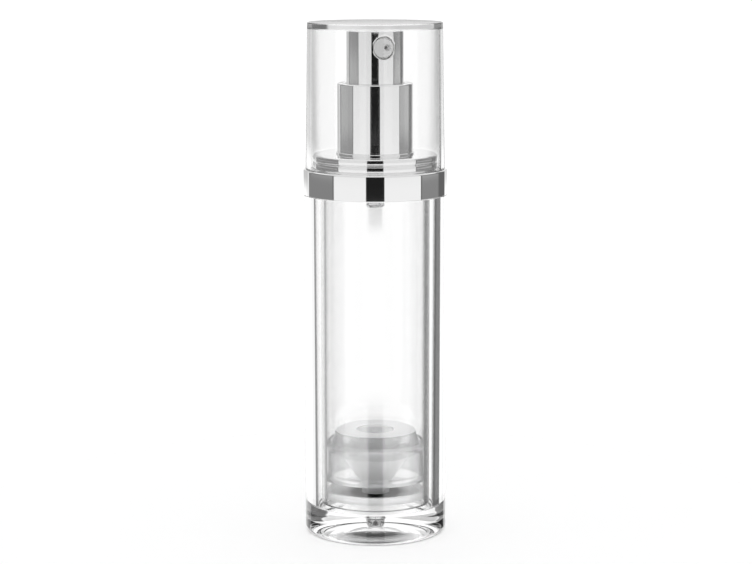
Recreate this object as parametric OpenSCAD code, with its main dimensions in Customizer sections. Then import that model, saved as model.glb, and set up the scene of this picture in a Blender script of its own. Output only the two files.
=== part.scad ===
// Airless pump bottle, clear double wall, with a bright metal-look pump head.
// Millimetres. Z is the bottle's axis, z = 0 is the face it stands on,
// and the nozzle points along -Y.

/* [Outer bottle] */
// Outer diameter of the clear bottle
body_d = 35.5; // [32:0.5:48]
// Height of the clear wall, from the resting face to the collar
bottle_h = 85.4; // [60:0.1:120]
// Thickness of the clear wall at its top
body_wall = 2.85; // [2.4:0.05:3.6]
// How much the cavity narrows towards the base, on the radius
cavity_draft = 0.25; // [0:0.05:0.4]
// Height of the cavity floor, which is the thickness of the solid base
base_h = 6.95; // [5.5:0.05:10]
// Rise of the hollow under the base
base_dome = 4.0; // [0.5:0.1:4.5]
// Width of the flat ring that the bottle stands on
foot_ring_w = 1.5; // [0.6:0.1:3]
// Radius of the bottom outer corner
base_corner_r = 1.5; // [0.5:0.1:2.5]
// Diameter of the air vent through the base
vent_d = 3.3; // [1.5:0.1:5]

/* [Inner bottle] */
// Air gap between the two bottles at the base
wall_gap = 1.05; // [0.6:0.05:1.5]
// Wall thickness of the inner bottle
inner_wall = 1.25; // [0.8:0.05:1.8]
// Gap between the inner bottle's lower edge and the cavity floor
foot_gap = 0.8; // [0.3:0.05:1]
// Thickness of the inner bottle's top plate
shoulder_t = 1.2; // [0.8:0.1:1.5]
// Wall thickness of the neck
neck_wall = 2.0; // [1.4:0.1:2.4]
// Height of the plug that closes the inner bottle's lower end
plug_h = 1.9; // [1.4:0.1:3.2]
// How far the plug is set up into the inner bottle's lower end
plug_lift = 1.4; // [0:0.1:1.8]
// Diameter of the air hole in the plug, under the piston's foot
plug_hole_d = 5.0; // [3:0.5:6]

/* [Collar] */
// Height of the plain band of the collar
collar_h = 6.3; // [5.6:0.1:12]
// Wall thickness of the band
collar_wall = 1.0; // [0.8:0.05:1.3]
// Thickness of the collar's ledge and deck
collar_t = 0.8; // [0.6:0.05:1]
// Height of the stepped ring above the ledge
ring_h = 3.7; // [3.5:0.1:6]
// Depth of the groove between the ring's two ridges
ridge_depth = 0.25; // [0.15:0.05:0.5]

/* [Overcap] */
// How far the cap's outer face is set in from the band
cap_inset = 0.55; // [0.2:0.05:1]
// Wall thickness of the cap at its mouth
cap_wall = 1.2; // [1:0.05:1.5]
// Thickness of the cap's top
cap_top_t = 1.3; // [1:0.1:3]
// How much the cap narrows towards its top, on the radius
cap_draft = 0.55; // [0.2:0.05:0.8]
// Gap between the cap's mouth and the ring's ridges
snap_gap = 0.65; // [0.3:0.05:1]
// Gap between the button and the cap's ceiling
cap_clear = 0.7; // [0.4:0.1:3]

/* [Pump head] */
// Outer diameter of the guide sleeve
sleeve_d = 18.7; // [18:0.1:20.4]
// Height of the guide sleeve above the collar's deck
sleeve_h = 17.35; // [17:0.05:22]
// Diameter of the button
button_d = 14.1; // [13.4:0.1:14.8]
// Height of the button above the sleeve at rest
button_rise = 12.95; // [12.5:0.05:16]
// Travel of the button
stroke = 4.5; // [3.5:0.1:5]
// Depth of the nozzle's centre below the button's top
nozzle_drop = 4.1; // [3.8:0.1:5]
// Depth of the core's spring disc below the button's top
core_depth = 12.7; // [11.5:0.1:13]
// How far the button's skirt reaches into the sleeve at rest
skirt_drop = 4.25; // [3:0.05:5]
// Diameter of the hole in the button round the nozzle
nozzle_hole_d = 5.6; // [5.3:0.1:6]
// Diameter of the nozzle insert
insert_d = 4.9; // [4.5:0.1:5.1]
// Diameter of the outlet
outlet_d = 1.3; // [0.6:0.1:1.5]
// Sideways offset of the outlet from the middle of the insert
outlet_offset = 1.1; // [0:0.1:1.3]

/* [Pump engine] */
// Bore of the pump chamber
chamber_d = 10.0; // [9.4:0.1:10.6]
// Wall thickness of the chamber
chamber_wall = 1.3; // [1:0.1:1.4]
// Depth of the chamber below its flange
chamber_drop = 8.4; // [7.6:0.1:9]
// Diameter of the inlet nipple
nipple_d = 4.4; // [4:0.1:5.2]
// Length of the inlet nipple
nipple_h = 2.5; // [1.5:0.1:5]
// Diameter of the inlet ball
ball_d = 3.0; // [2.6:0.1:3.2]
// Lift of the inlet ball in its cage
ball_lift = 0.6; // [0.3:0.1:1]
// Outer diameter of the stem
stem_d = 4.4; // [4:0.1:4.8]
// Bore of the stem
stem_bore_d = 2.2; // [1.6:0.1:2.4]
// Depth of the stem's top below the nozzle's centre
stem_drop = 2.7; // [2.2:0.1:4]
// Mean diameter of the return spring
spring_d = 8.6; // [8.3:0.1:9]
// Wire diameter of the return spring
wire_d = 0.7; // [0.5:0.05:0.75]
// Number of turns of the return spring
spring_turns = 6; // [4:1:7]

/* [Follower piston] */
// Height of the follower piston from its foot to its flat top
piston_h = 16.1; // [15.1:0.5:22.6]
// Width of the groove between the flat top and the upper lip
lip_groove_w = 2.2; // [1.8:0.1:3]
// Height of the sliding skirt, lip to lip
skirt_h = 9.8; // [8:0.1:11]
// Drop from the flat top to the upper lip
lip_drop = 2.5; // [1.5:0.1:3]
// Diameter of the well in the flat top
well_d = 9.5; // [7.6:0.1:10.5]
// Depth of the well
well_depth = 11.1; // [8:0.1:12]
// Diameter of the central foot
foot_d = 7.2; // [6:0.1:8]
// Diameter of the blind hole up the foot
foot_hole_d = 2.4; // [1.2:0.1:3]

/* [Clearances] */
// Radial gap between fixed pieces that fit together
fit_gap = 0.1; // [0.05:0.01:0.12]
// Radial gap of a sliding fit
run_gap = 0.05; // [0.03:0.01:0.08]
// Radial gap between the button and the sleeve's mouth
button_gap = 0.25; // [0.15:0.05:0.4]
// Gap between pieces that seat loosely on each other
seat_gap = 0.25; // [0.15:0.05:0.3]

/* [Hidden] */

round_fn = 96;
fine_fn = 48;
// How far a cutter reaches past the surface that it cuts
over = 1;

// Radii, from the outside in
body_r = body_d / 2;
collar_proud = 0.05;
collar_r = body_r + collar_proud;
band_in_r = collar_r - collar_wall;
rim_r = band_in_r - fit_gap;
cavity_top_r = body_r - body_wall;
cavity_low_r = cavity_top_r - cavity_draft;
inner_r = cavity_low_r - wall_gap;
bore_r = inner_r - inner_wall;
hanger_setback = 0.5;
hanger_r = rim_r - hanger_setback;

cap_r = collar_r - cap_inset;
cap_in_r = cap_r - cap_wall;
cap_top_r = cap_r - cap_draft;
cap_in_draft = 0.15;
cap_min_wall = 0.7;
cap_in_top_r = min(cap_in_r - cap_in_draft, cap_top_r - cap_min_wall);
ring_r = cap_in_r - snap_gap;

sleeve_r = sleeve_d / 2;
sleeve_wall = 0.6;
sleeve_in_r = sleeve_r - sleeve_wall;
upstand_r = sleeve_in_r - fit_gap;
upstand_wall = 0.8;
button_r = button_d / 2;
button_wall = 0.7;
button_in_r = button_r - button_wall;

chamber_r = chamber_d / 2;
housing_r = chamber_r + chamber_wall;
neck_room = 0.7;
neck_in_r = housing_r + neck_room;
neck_r = neck_in_r + neck_wall;
bead_h = 0.25;
flange_setback = 0.2;
flange_r = neck_r - flange_setback;
closure_in_r = neck_r + bead_h + fit_gap;
closure_wall = 1.3;
closure_r = closure_in_r + closure_wall;

stem_r = stem_d / 2;
ball_r = ball_d / 2;

// Heights, from the base up
z_inner = base_h + foot_gap;
z_plug = z_inner + plug_lift;
plug_floor = 0.5;
z_ledge = bottle_h + collar_h;
z_deck = z_ledge + ring_h;
z_hanger_top = z_ledge - collar_t - fit_gap;
z_rim = z_hanger_top - shoulder_t;

plate_t = 0.7;
flange_t = 0.7;
gasket_t = 0.4;
z_closure_top = z_deck - collar_t - fit_gap;
z_flange_top = z_closure_top - plate_t;
z_flange = z_flange_top - flange_t;
z_neck_top = z_flange - gasket_t;
upstand_h = 3.4;
// Middle of the snap bead between the outer bottle's rim and the band
z_snap = bottle_h + 1.6;

z_sleeve_top = z_deck + sleeve_h;
z_button_top = z_sleeve_top + button_rise;
z_ceiling = z_button_top + cap_clear;
z_top = z_ceiling + cap_top_t;
z_nozzle = z_button_top - nozzle_drop;

// Pump engine heights, from the nipple up
floor_t = 1.0;
z_chamber = z_flange - chamber_drop;
z_nipple = z_chamber - nipple_h;
inlet_r = 1.1;
ball_room = 0.3;
cage_in_r = ball_r + ball_room;
cage_wall = 1.0;
cage_r = cage_in_r + cage_wall;
seat_rise = 0.6;
z_seat = z_chamber + seat_rise;
ball_float = 0.12;
ball_rest = sqrt(ball_r * ball_r - inlet_r * inlet_r) + ball_float;
z_ball = z_seat + ball_rest;
cage_lip_gap = 0.2;
cage_lip_t = 0.4;
z_cage_lip = z_ball + ball_r + ball_lift + cage_lip_gap;
z_cage_top = z_cage_lip + cage_lip_t;
plunger_t = 1.3;
plunger_room = 0.4;
z_plunger = z_cage_top + plunger_room + stroke;
z_stem = z_plunger + plunger_t + run_gap;
seal_h = 3.2;
seal_rise = 0.1;
seal_room = 0.25;
z_seal = z_stem + seal_rise;
z_guide = z_seal + seal_h + seal_room;
guide_depth = 1.4;
guide_flange_t = 1.0;
z_housing_top = z_guide + guide_depth;
z_guide_top = z_housing_top + guide_flange_t;

// Actuator heights
button_top_t = 1.0;
z_core_top = z_button_top - button_top_t - fit_gap;
z_core_disc = z_button_top - core_depth;
core_disc_t = 1.2;
z_skirt = z_sleeve_top - skirt_drop;
socket_r = stem_r + run_gap;
core_post_wall = 1.1;
core_post_r = stem_r + core_post_wall;
socket_drop = 1.6;
z_socket = z_core_disc - socket_drop;
z_stem_top = z_nozzle - stem_drop;
channel_r = 0.8;
insert_setback = 0.95;
insert_face_y = button_r - insert_setback;
seat_bite = 0.2;
insert_seat_y = core_post_r - seat_bite;

// Follower piston heights
z_piston = z_plug + plug_floor + seat_gap;
z_plateau = z_piston + piston_h;
z_lip = z_plateau - lip_drop;
z_skirt_low = z_lip - skirt_h;
piston_r = bore_r - run_gap;
piston_travel = z_chamber - seat_gap - z_plateau;

clear_tint = [0.93, 0.95, 0.96, 0.35];
milky_tint = [0.90, 0.91, 0.92, 0.8];
silver_tint = [0.80, 0.81, 0.83];
white_tint = [0.94, 0.94, 0.93];
steel_tint = [0.66, 0.67, 0.69];

// Points of an arc round c, from angle a0 to angle a1
function arc(c, r, a0, a1, n) =
    [for (i = [0:n]) let (a = a0 + (a1 - a0) * i / n) c + r * [cos(a), sin(a)]];

// A solid of revolution from its half outline
module lathe(points, fn = round_fn) {
    rotate_extrude($fn = fn) polygon(points);
}

// A plain ring between two radii and two heights
module ring(r_in, r_out, z0, z1) {
    lathe([[r_in, z0], [r_out, z0], [r_out, z1], [r_in, z1]]);
}

// Clear cap that lifts off, thin in the skirt and thick in the top
module overcap() {
    edge = 0.35;
    color(clear_tint) lathe(concat(
        [[0, z_ceiling], [cap_in_top_r - edge, z_ceiling], [cap_in_top_r, z_ceiling - edge]],
        [[cap_in_r, z_ledge], [cap_r, z_ledge]],
        [[cap_top_r, z_top - edge], [cap_top_r - edge, z_top], [0, z_top]]
    ));
}

// Bright shell of the push button, with the nozzle's window in its wall
module button_shell() {
    edge = 0.4;
    color(silver_tint) difference() {
        lathe(concat(
            [[button_in_r, z_skirt], [button_r, z_skirt]],
            arc([button_r - edge, z_button_top - edge], edge, 0, 90, 3),
            [[0, z_button_top], [0, z_button_top - button_top_t]],
            [[button_in_r, z_button_top - button_top_t]]
        ));
        translate([0, 0, z_nozzle]) rotate([90, 0, 0])
            cylinder(h = button_r + over, d = nozzle_hole_d, $fn = fine_fn);
    }
}

// White core of the button: stem socket, spring seat, ribs and the outlet channel
module actuator_core() {
    insert_r = insert_d / 2;
    boss_r = nozzle_hole_d / 2 - fit_gap;
    boss_y = sqrt(button_in_r * button_in_r - boss_r * boss_r) - fit_gap;
    rib_t = 0.8;
    color(white_tint) difference() {
        union() {
            ring(socket_r, core_post_r, z_socket, z_core_disc + core_disc_t);
            ring(socket_r, button_in_r - fit_gap, z_core_disc, z_core_disc + core_disc_t);
            translate([0, 0, z_core_disc])
                cylinder(h = z_core_top - z_core_disc, r = core_post_r, $fn = fine_fn);
            intersection() {
                translate([0, 0, z_core_disc])
                    cylinder(h = z_core_top - z_core_disc, r = button_in_r - fit_gap, $fn = fine_fn);
                for (a = [45, 135])
                    rotate([0, 0, a])
                        translate([-button_r, -rib_t / 2, z_core_disc])
                            cube([2 * button_r, rib_t, z_core_top - z_core_disc]);
            }
            translate([0, 0, z_nozzle]) rotate([90, 0, 0])
                cylinder(h = boss_y, r = boss_r, $fn = fine_fn);
        }
        translate([0, 0, z_socket - over])
            cylinder(h = z_stem_top + fit_gap - z_socket + over, r = socket_r, $fn = fine_fn);
        translate([0, 0, z_socket])
            cylinder(h = z_nozzle + channel_r - z_socket, r = channel_r, $fn = fine_fn);
        translate([0, 0, z_nozzle]) rotate([90, 0, 0])
            cylinder(h = button_r, r = channel_r, $fn = fine_fn);
        translate([0, -insert_seat_y, z_nozzle]) rotate([90, 0, 0])
            cylinder(h = button_r, r = insert_r + run_gap, $fn = fine_fn);
    }
}

// Round nozzle insert with its off-centre outlet
module nozzle_insert() {
    insert_r = insert_d / 2;
    back_y = insert_seat_y + run_gap;
    pocket_wall = 0.5;
    pocket_depth = 0.6;
    color(white_tint) translate([0, 0, z_nozzle]) rotate([90, 0, 0]) difference() {
        translate([0, 0, back_y])
            cylinder(h = insert_face_y - back_y, r = insert_r, $fn = fine_fn);
        translate([0, 0, back_y - over])
            cylinder(h = pocket_depth + over, r = insert_r - pocket_wall, $fn = fine_fn);
        translate([outlet_offset, 0, back_y])
            cylinder(h = button_r, d = outlet_d, $fn = fine_fn);
    }
}

// Bright tube that guides the button, with a turned-in mouth and a thin foot
module guide_sleeve() {
    mouth_r = button_r + button_gap;
    edge = 0.35;
    foot_w = 0.3;
    foot_r = sleeve_r + foot_w;
    foot_t = 0.4;
    mouth_t = 0.75;
    color(silver_tint) lathe(concat(
        [[sleeve_in_r, z_deck], [foot_r, z_deck], [foot_r, z_deck + foot_t]],
        [[sleeve_r, z_deck + foot_t]],
        arc([sleeve_r - edge, z_sleeve_top - edge], edge, 0, 90, 3),
        [[mouth_r, z_sleeve_top], [mouth_r, z_sleeve_top - mouth_t]],
        [[sleeve_in_r, z_sleeve_top - mouth_t]]
    ));
}

// Bright collar: the plain band, the ledge that the cap stands on,
// and the stepped ring with two ridges that the cap goes over
module shoulder_collar() {
    edge = 0.45;
    chamfer = 0.15;
    ridge_foot = 0.2;
    groove_w = 0.1;
    groove_slope = 0.2;
    bead_half = 0.4;
    bead_slope = 0.3;
    ridge = (ring_h - 0.5) / 2;
    groove_z = z_ledge + 0.3 + ridge;
    groove_r = ring_r - ridge_depth;
    shell_r = groove_r - collar_t;
    bead_r = band_in_r + bead_h;
    color(silver_tint) lathe(concat(
        [[band_in_r, bottle_h], [collar_r - chamfer, bottle_h], [collar_r, bottle_h + chamfer]],
        arc([collar_r - edge, z_ledge - edge], edge, 0, 90, 3),
        [[ring_r - ridge_foot, z_ledge], [ring_r, z_ledge + 2 * ridge_foot]],
        [[ring_r, groove_z - groove_slope], [groove_r, groove_z], [groove_r, groove_z + groove_w]],
        [[ring_r, groove_z + groove_w + groove_slope]],
        arc([ring_r - edge, z_deck - edge], edge, 0, 90, 3),
        [[sleeve_in_r, z_deck], [sleeve_in_r, z_deck - collar_t]],
        [[shell_r, z_deck - collar_t], [shell_r, z_ledge - collar_t]],
        [[band_in_r, z_ledge - collar_t], [band_in_r, z_snap + bead_half + bead_slope]],
        [[bead_r, z_snap + bead_half], [bead_r, z_snap - bead_half]],
        [[band_in_r, z_snap - bead_half - bead_slope]]
    ));
}

// Snap ring that clamps the pump's flange down on the neck
module closure_ring() {
    hole_r = housing_r + fit_gap;
    z_low = z_hanger_top + fit_gap;
    z_catch = z_low + 0.4;
    catch_r = neck_r + fit_gap;
    z_upstand = z_closure_top + upstand_h;
    color(white_tint) lathe([
        [catch_r, z_low], [closure_r, z_low], [closure_r, z_closure_top],
        [upstand_r, z_closure_top], [upstand_r, z_upstand], [upstand_r - upstand_wall, z_upstand],
        [upstand_r - upstand_wall, z_closure_top], [hole_r, z_closure_top],
        [hole_r, z_flange_top], [closure_in_r, z_flange_top],
        [closure_in_r, z_catch], [catch_r, z_catch - fit_gap]
    ]);
}

// Soft flat ring between the neck and the pump's flange
module neck_gasket() {
    color("gainsboro") ring(housing_r + fit_gap, flange_r, z_neck_top, z_flange);
}

// Pump chamber with its flange, inlet nipple and ball cage
module pump_housing() {
    nipple_r = nipple_d / 2;
    edge = 0.3;
    mouth_r = inlet_r + 0.2;
    color(milky_tint) lathe([
        [inlet_r, z_nipple], [nipple_r - edge, z_nipple], [nipple_r, z_nipple + edge],
        [nipple_r, z_chamber], [housing_r, z_chamber], [housing_r, z_flange],
        [flange_r, z_flange], [flange_r, z_flange_top], [housing_r, z_flange_top],
        [housing_r, z_housing_top], [chamber_r, z_housing_top],
        [chamber_r, z_chamber + floor_t], [cage_r, z_chamber + floor_t],
        [cage_r, z_cage_top], [mouth_r, z_cage_top], [mouth_r, z_cage_lip],
        [cage_in_r, z_cage_lip], [cage_in_r, z_seat + cage_in_r - inlet_r], [inlet_r, z_seat]
    ], fine_fn);
}

// Lid of the chamber that guides the stem and carries the spring
module stem_guide() {
    guide_r = stem_r + run_gap;
    plug_r = chamber_r - run_gap;
    z_boss = z_guide_top + 0.8;
    color(white_tint) lathe([
        [guide_r, z_guide], [plug_r, z_guide], [plug_r, z_housing_top],
        [housing_r, z_housing_top], [housing_r, z_guide_top],
        [core_post_r, z_guide_top], [core_post_r, z_boss], [guide_r, z_boss]
    ], fine_fn);
}

// Hollow stem, with two side ports that the seal covers at rest
module pump_stem() {
    port_rise = 1.3;
    port_d = 1;
    color(white_tint) difference() {
        lathe([
            [stem_bore_d / 2, z_stem], [stem_r, z_stem],
            [stem_r, z_stem_top], [stem_bore_d / 2, z_stem_top]
        ], fine_fn);
        translate([0, 0, z_seal + port_rise]) rotate([90, 0, 0])
            cylinder(h = stem_d + 2 * over, d = port_d, center = true, $fn = fine_fn);
    }
}

// Valve head under the stem, on a short spigot
module valve_plunger() {
    head_room = 1.6;
    head_r = chamber_r - head_room;
    spigot_r = stem_bore_d / 2 - run_gap;
    spigot_h = 1;
    edge = 0.3;
    z_head_top = z_plunger + plunger_t;
    color(white_tint) lathe([
        [0, z_plunger], [head_r - edge, z_plunger], [head_r, z_plunger + edge],
        [head_r, z_head_top], [spigot_r, z_head_top],
        [spigot_r, z_head_top + spigot_h], [0, z_head_top + spigot_h]
    ], fine_fn);
}

// Sliding seal with an upper and a lower lip
module piston_seal() {
    seal_in_r = stem_r + run_gap;
    lip_r = chamber_r - run_gap;
    waist_r = lip_r - 0.5;
    web = 0.9;
    lip_t = 0.3;
    lip_h = 0.5;
    waist_half = 0.3;
    z_mid = z_seal + seal_h / 2;
    z_seal_top = z_seal + seal_h;
    color("whitesmoke") lathe([
        [seal_in_r, z_seal], [seal_in_r + web, z_seal], [seal_in_r + web, z_mid - web / 2],
        [waist_r - web / 2, z_mid - web / 2], [lip_r - lip_t, z_seal], [lip_r, z_seal],
        [lip_r, z_seal + lip_h], [waist_r, z_mid - waist_half], [waist_r, z_mid + waist_half],
        [lip_r, z_seal_top - lip_h], [lip_r, z_seal_top], [lip_r - lip_t, z_seal_top],
        [waist_r - web / 2, z_mid + web / 2], [seal_in_r, z_mid + web / 2]
    ], fine_fn);
}

// Return spring: one round wire, wound evenly, with a short straight run at each end
spring_gap = 0.1;
z_spring = z_guide_top + wire_d / 2 + spring_gap;
spring_rise = z_core_disc - spring_gap - wire_d / 2 - z_spring;
wire_sides = 6;
turn_rings = 8;
spring_steps = spring_turns * turn_rings;
spring_slope = atan(spring_rise / (spring_turns * PI * spring_d));
function coil_point(i) =
    let (a = 360 * i / turn_rings)
    [spring_d / 2 * cos(a), spring_d / 2 * sin(a), z_spring + spring_rise * i / spring_steps];
// Direction of the wire, level at the two ends
function coil_tangent(i, slope) =
    let (a = 360 * i / turn_rings)
    [-sin(a) * cos(slope), cos(a) * cos(slope), sin(slope)];
function coil_ring(i, slope, along) =
    let (a = 360 * i / turn_rings, c = coil_point(i) + along * coil_tangent(i, slope))
    [for (k = [0:wire_sides - 1]) let (b = 360 * k / wire_sides)
        c + wire_d / 2 * (cos(b) * [cos(a), sin(a), 0]
            + sin(b) * [sin(a) * sin(slope), -cos(a) * sin(slope), cos(slope)])];
coil_rings = concat(
    [coil_ring(0, 0, -wire_d)],
    [for (i = [0:spring_steps]) coil_ring(i, i == 0 || i == spring_steps ? 0 : spring_slope, 0)],
    [coil_ring(spring_steps, 0, wire_d)]
);
coil_last = len(coil_rings) - 1;
function side_faces(j) =
    [for (k = [0:wire_sides - 1]) let (n = (k + 1) % wire_sides, p = j * wire_sides)
        each [[p + k, p + wire_sides + k, p + n], [p + n, p + wire_sides + k, p + wire_sides + n]]];
coil_faces = concat(
    [for (k = [1:wire_sides - 2]) [0, k, k + 1]],
    [for (j = [0:coil_last - 1]) each side_faces(j)],
    [for (k = [1:wire_sides - 2]) coil_last * wire_sides * [1, 1, 1] + [0, k + 1, k]]
);
// Least distance between the wire's middle lines on neighbouring turns, less the wire
least_turn_gap = min([for (i = [0:spring_steps - turn_rings])
    min([for (j = [turn_rings - 1:turn_rings + 1])
        if (i + j <= spring_steps) norm(coil_point(i + j) - coil_point(i))])]) - wire_d;
echo(least_gap_between_turns_mm = least_turn_gap);

module return_spring() {
    color(steel_tint) polyhedron([for (r = coil_rings) each r], coil_faces, convexity = 10);
}

// Ball of the inlet valve
module inlet_ball() {
    color(steel_tint) translate([0, 0, z_ball]) sphere(r = ball_r, $fn = fine_fn);
}

// Clear inner bottle, open below, hung from its top plate, with a short neck
module inner_bottle() {
    edge = 0.3;
    bead_z = (z_hanger_top + z_neck_top) / 2;
    color(clear_tint) lathe([
        [bore_r + edge, z_inner], [inner_r - edge, z_inner], [inner_r, z_inner + edge],
        [inner_r, z_rim], [hanger_r, z_rim], [hanger_r, z_hanger_top],
        [neck_r, z_hanger_top], [neck_r, bead_z - edge], [neck_r + bead_h, bead_z],
        [neck_r, bead_z + edge], [neck_r, z_neck_top], [neck_in_r, z_neck_top],
        [neck_in_r, z_rim], [bore_r, z_rim], [bore_r, z_inner + edge]
    ]);
}

// Follower piston: flat top with a deep well, two lips and a central foot
module follower_piston() {
    plateau_r = piston_r - lip_groove_w;
    well_r = well_d / 2;
    foot_r = foot_d / 2;
    hole_r = foot_hole_d / 2;
    skirt_t = 1.1;
    waist = 0.3;
    lip_h = 0.7;
    foot_h = 2.4;
    cone_top_in = 1.5;
    cone_top_drop = 3.8;
    web_drop = 2.4;
    groove_depth = 1;
    edge = 0.4;
    well_straight = 2.5;
    hole_roof = 1.2;
    z_well = z_plateau - well_depth;
    groove_r = (plateau_r + piston_r) / 2;
    z_groove = z_lip - groove_depth;
    skirt_in_r = piston_r - skirt_t;
    z_web = z_lip - web_drop;
    foot_top = z_piston + foot_h;
    color(milky_tint) difference() {
        lathe(concat(
            [[0, z_piston], [foot_r, z_piston], [foot_r, foot_top], [foot_r + 0.7, foot_top + 1.1]],
            [[plateau_r - cone_top_in, z_lip - cone_top_drop], [plateau_r - 0.5, z_lip - lip_h - 0.1]],
            [[plateau_r, z_lip - lip_h], [skirt_in_r, z_web], [skirt_in_r, z_skirt_low + 1.2]],
            [[piston_r - edge, z_skirt_low], [piston_r, z_skirt_low], [piston_r, z_skirt_low + 0.9]],
            [[piston_r - waist, z_skirt_low + 1.8], [piston_r - waist, z_lip - 1.7]],
            [[piston_r, z_lip - lip_h], [piston_r, z_lip], [piston_r - 0.25, z_lip]],
            [[groove_r + 0.3, z_groove], [groove_r - 0.2, z_groove]],
            arc([plateau_r - edge, z_plateau - edge], edge, 15, 90, 3),
            [[0, z_plateau]]
        ));
        lathe(concat(
            [[0, z_plateau + over], [well_r, z_plateau + over], [well_r, z_plateau - well_straight]],
            [[well_r * 0.83, z_well + well_depth * 0.46], [well_r * 0.57, z_well + well_depth * 0.17]],
            [[well_r * 0.3, z_well + well_depth * 0.03], [0, z_well]]
        ));
        translate([0, 0, z_piston - over])
            cylinder(h = z_well - hole_roof - z_piston + over, r = hole_r, $fn = fine_fn);
    }
}

// Shallow cup in the inner bottle's lower end, with an air hole
module bottle_plug() {
    plug_r = bore_r - fit_gap;
    hole_r = plug_hole_d / 2;
    rim_t = 0.9;
    edge = 0.2;
    z_brim = z_plug + plug_h;
    color(milky_tint) lathe([
        [hole_r, z_plug], [plug_r, z_plug], [plug_r, z_brim - edge], [plug_r - edge, z_brim],
        [plug_r - rim_t, z_brim], [plug_r - rim_t, z_plug + plug_floor],
        [hole_r, z_plug + plug_floor]
    ]);
}

// Thick clear outer bottle: solid base hollowed below, cavity, and a stepped rim
module outer_bottle() {
    foot_r = body_r - base_corner_r - foot_ring_w;
    dome_r = (foot_r * foot_r + base_dome * base_dome) / (2 * base_dome);
    bead_half = 0.3;
    bead_slope = 0.3;
    floor_edge = 0.5;
    color(clear_tint) difference() {
        lathe(concat(
            [[0, 0], [body_r - base_corner_r, 0]],
            arc([body_r - base_corner_r, base_corner_r], base_corner_r, -75, 0, 5),
            [[body_r, bottle_h], [rim_r, bottle_h], [rim_r, z_snap - bead_half - bead_slope]],
            [[rim_r + bead_h, z_snap - bead_half], [rim_r + bead_h, z_snap + bead_half]],
            [[rim_r, z_snap + bead_half + bead_slope], [rim_r, z_rim], [cavity_top_r, z_rim]],
            [[cavity_low_r, base_h + floor_edge], [cavity_low_r - floor_edge, base_h], [0, base_h]]
        ));
        translate([0, 0, base_dome - dome_r]) sphere(r = dome_r, $fn = round_fn);
        cylinder(h = base_h + over, d = vent_d, $fn = fine_fn);
    }
}

overcap();
button_shell();
actuator_core();
nozzle_insert();
guide_sleeve();
shoulder_collar();
closure_ring();
neck_gasket();
pump_housing();
stem_guide();
pump_stem();
valve_plunger();
piston_seal();
return_spring();
inlet_ball();
inner_bottle();
follower_piston();
bottle_plug();
outer_bottle();
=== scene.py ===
"""Airless pump bottle: clear double wall, bright pump head, clear overcap.

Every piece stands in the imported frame, in metres. The z axis is the bottle's axis, and -y is the nozzle's
direction.
"""
import math

import bpy
from mathutils import Matrix, Vector


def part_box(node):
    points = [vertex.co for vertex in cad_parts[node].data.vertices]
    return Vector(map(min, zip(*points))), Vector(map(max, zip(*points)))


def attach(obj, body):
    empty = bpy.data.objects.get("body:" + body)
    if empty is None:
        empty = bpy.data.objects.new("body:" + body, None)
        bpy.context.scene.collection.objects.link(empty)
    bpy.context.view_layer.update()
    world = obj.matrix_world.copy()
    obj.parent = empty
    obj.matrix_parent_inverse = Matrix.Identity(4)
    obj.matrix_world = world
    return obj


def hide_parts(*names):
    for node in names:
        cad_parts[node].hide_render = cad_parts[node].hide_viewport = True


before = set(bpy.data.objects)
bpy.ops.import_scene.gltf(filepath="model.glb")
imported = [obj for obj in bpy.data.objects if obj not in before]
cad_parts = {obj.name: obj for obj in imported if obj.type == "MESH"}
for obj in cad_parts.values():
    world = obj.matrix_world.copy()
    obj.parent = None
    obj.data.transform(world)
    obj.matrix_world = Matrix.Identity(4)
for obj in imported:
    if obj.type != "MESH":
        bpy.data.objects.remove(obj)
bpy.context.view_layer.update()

bl_info = {
    "name": "Airless pump bottle",
    "version": (1, 0, 0),
    "blender": (4, 5, 0),
    "location": "3D View > Sidebar > Bottle",
    "description": "Models and finishes a clear airless pump bottle with its overcap",
    "category": "Object",
}

MM = 0.001
STEPS_ROUND = 240
EDGE_STEPS = 4
SMOOTH_ANGLE = math.radians(35)
# Points closer than this are one point, on one ring, or on the window's rim.
MERGE_GAP = 0.0001 * MM
RING_GAP = 0.002 * MM
RIM_GAP = 0.005 * MM
BUMP_DEPTH = 0.02 * MM
# The snap bead of the outer bottle: its middle over the seat, how far it stands out, and half its height at
# its foot and at its crest. The collar's groove has the same shape with some slack.
SNAP_HEIGHT = 1.6 * MM
BEAD_RISE = 0.25 * MM
BEAD_FOOT = 0.6 * MM
BEAD_CREST = 0.3 * MM
BEAD_SLACK = 0.1 * MM
# Turns a piece that was made upright towards the nozzle's side.
TO_FRONT = Matrix.Rotation(math.radians(90), 4, "X")


def length(name, description, default):
    """A size property in metres."""
    return bpy.props.FloatProperty(
        name=name, description=description, default=default, min=0, unit="LENGTH", precision=5)


def share(name, description, default):
    """A property between 0 and 1."""
    return bpy.props.FloatProperty(
        name=name, description=description, default=default, min=0, max=1, subtype="FACTOR")


def angle(name, description, degrees):
    """An angle property, given in degrees."""
    return bpy.props.FloatProperty(
        name=name, description=description, default=math.radians(degrees), unit="ROTATION")


def tint(name, description, default):
    """A colour property."""
    return bpy.props.FloatVectorProperty(
        name=name, description=description, default=default, size=3, min=0, max=1, subtype="COLOR")


class OvercapShape(bpy.types.PropertyGroup):
    """Sizes of the clear overcap."""
    wall: length("Wall", "Wall thickness at the mouth", 1.2 * MM)
    top: length("Top", "Thickness of the top", 1.3 * MM)
    draft: length("Draft", "How much the outside narrows towards the top", 0.55 * MM)
    bore_draft: length("Bore draft", "How much the inside narrows towards the top", 0.15 * MM)
    edge: length("Top edge", "Radius of the top's outer edge", 0.3 * MM)
    ceiling_edge: length("Ceiling edge", "Radius of the ceiling's edge", 0.35 * MM)


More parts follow.
